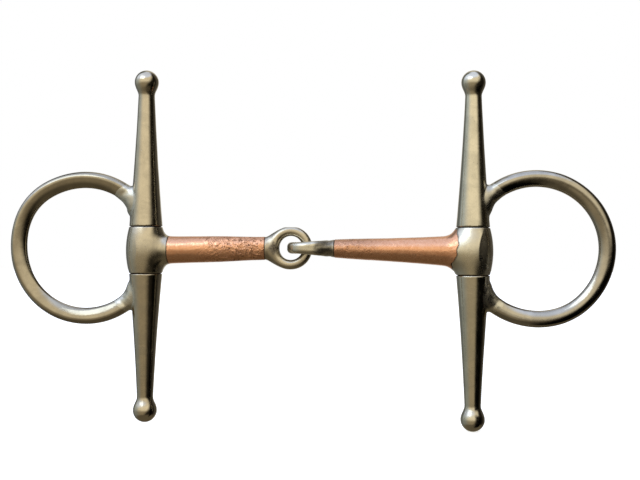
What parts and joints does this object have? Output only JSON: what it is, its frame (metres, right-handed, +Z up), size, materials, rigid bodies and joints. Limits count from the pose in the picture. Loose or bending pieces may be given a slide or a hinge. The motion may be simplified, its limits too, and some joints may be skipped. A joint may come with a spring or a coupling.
{
  "type": "snaffle bit",
  "caption": "Full-cheek snaffle bit: a copper-covered mouthpiece jointed in the middle, loose cheeks with ball-ended arms, and an open ring outside each cheek.",
  "frame": {"origin": "the centre of the mouth: halfway between the two cheeks, level with the middle of their barrels", "axes": "+X across the mouth to the right cheek, +Z up along the cheek arms, +Y through the thickness; the bit is drawn as it hangs in the bridle"},
  "size_m": [0.2598, 0.0184, 0.1543],
  "materials": {
    "cheek_nickel": "polished nickel steel, worn",
    "ring_nickel": "polished nickel steel, worn",
    "braze_metal": "brazed and filed",
    "pin_steel": "plain turned steel",
    "mouthpiece_nickel": "polished nickel steel, worn",
    "copper": "used copper, scratched and pitted"
  },
  "bodies": {
    "left_mouthpiece": {"left_mouthpiece_core": "mouthpiece_nickel", "left_copper_sleeve": "copper"},
    "left_cheek": {"left_upper_cheek_arm": "cheek_nickel", "left_lower_cheek_arm": "cheek_nickel", "left_cheek_ring": "ring_nickel", "left_upper_braze": "braze_metal", "left_lower_braze": "braze_metal", "left_hinge_pin": "pin_steel"},
    "right_mouthpiece": {"right_mouthpiece_core": "mouthpiece_nickel", "right_copper_sleeve": "copper"},
    "right_cheek": {"right_upper_cheek_arm": "cheek_nickel", "right_lower_cheek_arm": "cheek_nickel", "right_cheek_ring": "ring_nickel", "right_upper_braze": "braze_metal", "right_lower_braze": "braze_metal", "right_hinge_pin": "pin_steel"}
  },
  "joints": [
    {"name": "left_cheek_swivel", "type": "hinge", "parent": "left_mouthpiece", "child": "left_cheek", "pos_m": [-0.0704, 0, 0], "axis": [0, 0, 1], "range_deg": [-90, 90]},
    {"name": "centre_link_fold", "type": "hinge", "parent": "left_mouthpiece", "child": "right_mouthpiece", "pos_m": [-0.00005, 0, 0], "axis": [0, 0, 1], "range_deg": [-90, 90]},
    {"name": "right_cheek_swivel", "type": "hinge", "parent": "right_mouthpiece", "child": "right_cheek", "pos_m": [0.0704, 0, 0], "axis": [0, 0, 1], "range_deg": [-90, 90]}
  ]
}
